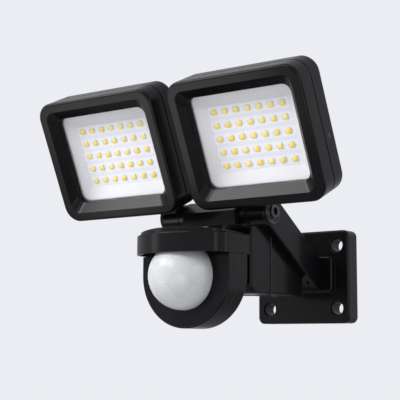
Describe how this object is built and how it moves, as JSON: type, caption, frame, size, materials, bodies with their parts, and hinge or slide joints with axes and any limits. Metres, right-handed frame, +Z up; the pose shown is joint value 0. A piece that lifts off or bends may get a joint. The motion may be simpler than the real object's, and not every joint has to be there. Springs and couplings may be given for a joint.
{
  "type": "motion sensor security light",
  "caption": "Wall light with tilting square LED heads on a cross bar, a hooded domed motion sensor below it, a sloping arm, a junction box and a wall plate.",
  "frame": {"origin": "centre of the four wall fixings, on the wall plate's back face, which is the plane of the wall", "axes": "+Z up; +Y into the wall, so the light faces -Y; +X to the right as seen from in front of the light"},
  "size_m": [0.2334, 0.2163, 0.181],
  "materials": {
    "shell_plastic": "satin black moulded plastic",
    "lamp_glass": "clear toughened glass",
    "reflector_white": "glossy white moulding",
    "led_board_white": "white solder mask",
    "led_phosphor": "yellow phosphor",
    "seal_rubber": "soft black rubber",
    "screw_steel": "plated steel",
    "bolt_black": "black oxide steel",
    "washer_steel": "black coated steel",
    "circuit_board": "green solder mask",
    "core_plastic": "wound and taped core",
    "can_aluminium": "capacitor can",
    "relay_plastic": "blue relay case",
    "terminal_plastic": "natural terminal block",
    "lens_white": "milky translucent lens",
    "ring_plastic": "grey moulded ring",
    "detector_can": "metal can with a dark window",
    "dial_plastic": "grey slotted dial"
  },
  "bodies": {
    "base": {"wall_plate": "shell_plastic", "wall_gasket": "seal_rubber", "cable_grommet": "seal_rubber", "arm_screws": "screw_steel", "arm": "shell_plastic", "cross_bar": "shell_plastic", "cross_bar_cover": "shell_plastic", "cover_screws": "bolt_black", "bar_screws": "screw_steel", "pivot_bolts": "bolt_black", "pivot_washers": "washer_steel", "pivot_nuts": "screw_steel", "friction_washers": "seal_rubber", "box_front": "shell_plastic", "box_rear": "shell_plastic", "box_seal": "seal_rubber", "box_screws": "bolt_black", "driver_board": "circuit_board", "transformer": "core_plastic", "capacitor": "can_aluminium", "relay": "relay_plastic", "terminal_block": "terminal_plastic", "terminal_screws": "screw_steel", "stem_screw": "screw_steel"},
    "right_head": {"right_bezel": "shell_plastic", "right_glass": "lamp_glass", "right_reflector": "reflector_white", "right_led_board": "led_board_white", "right_led_chips": "led_phosphor", "right_seal": "seal_rubber", "right_housing": "shell_plastic", "right_back": "shell_plastic", "right_head_screws": "bolt_black", "right_knuckle": "shell_plastic", "right_knuckle_screws": "bolt_black"},
    "left_head": {"left_bezel": "shell_plastic", "left_glass": "lamp_glass", "left_reflector": "reflector_white", "left_led_board": "led_board_white", "left_led_chips": "led_phosphor", "left_seal": "seal_rubber", "left_housing": "shell_plastic", "left_back": "shell_plastic", "left_head_screws": "bolt_black", "left_knuckle": "shell_plastic", "left_knuckle_screws": "bolt_black"},
    "swivel": {"swivel_block": "shell_plastic", "hinge_pin": "screw_steel"},
    "sensor": {"sensor_front": "shell_plastic", "sensor_back": "shell_plastic", "sensor_hood": "shell_plastic", "sensor_lens": "lens_white", "lens_ring": "ring_plastic", "sensor_board": "circuit_board", "pir_element": "detector_can", "sensor_screws": "bolt_black"},
    "time_dial": {"time_dial": "dial_plastic"},
    "lux_dial": {"lux_dial": "dial_plastic"},
    "sensitivity_dial": {"sensitivity_dial": "dial_plastic"}
  },
  "joints": [
    {"name": "right_head_tilt", "type": "hinge", "parent": "base", "child": "right_head", "pos_m": [0.0393, -0.1374, 0.0405], "axis": [1, 0, 0], "range_deg": [-45, 10]},
    {"name": "left_head_tilt", "type": "hinge", "parent": "base", "child": "left_head", "pos_m": [-0.0393, -0.1374, 0.0405], "axis": [1, 0, 0], "range_deg": [-45, 10]},
    {"name": "sensor_pan", "type": "hinge", "parent": "base", "child": "swivel", "pos_m": [0, -0.1414, 0.002], "axis": [0, 0, 1], "range_deg": [-50, 50]},
    {"name": "sensor_tilt", "type": "hinge", "parent": "swivel", "child": "sensor", "pos_m": [0, -0.1516, 0.002], "axis": [1, 0, 0], "range_deg": [-5, 25]},
    {"name": "time_dial_turn", "type": "hinge", "parent": "sensor", "child": "time_dial", "pos_m": [-0.013, -0.1564, -0.024], "axis": [0, 1, 0], "range_deg": [-135, 135]},
    {"name": "lux_dial_turn", "type": "hinge", "parent": "sensor", "child": "lux_dial", "pos_m": [0, -0.1564, -0.024], "axis": [0, 1, 0], "range_deg": [-135, 135]},
    {"name": "sensitivity_dial_turn", "type": "hinge", "parent": "sensor", "child": "sensitivity_dial", "pos_m": [0.013, -0.1564, -0.024], "axis": [0, 1, 0], "range_deg": [-135, 135]}
  ]
}
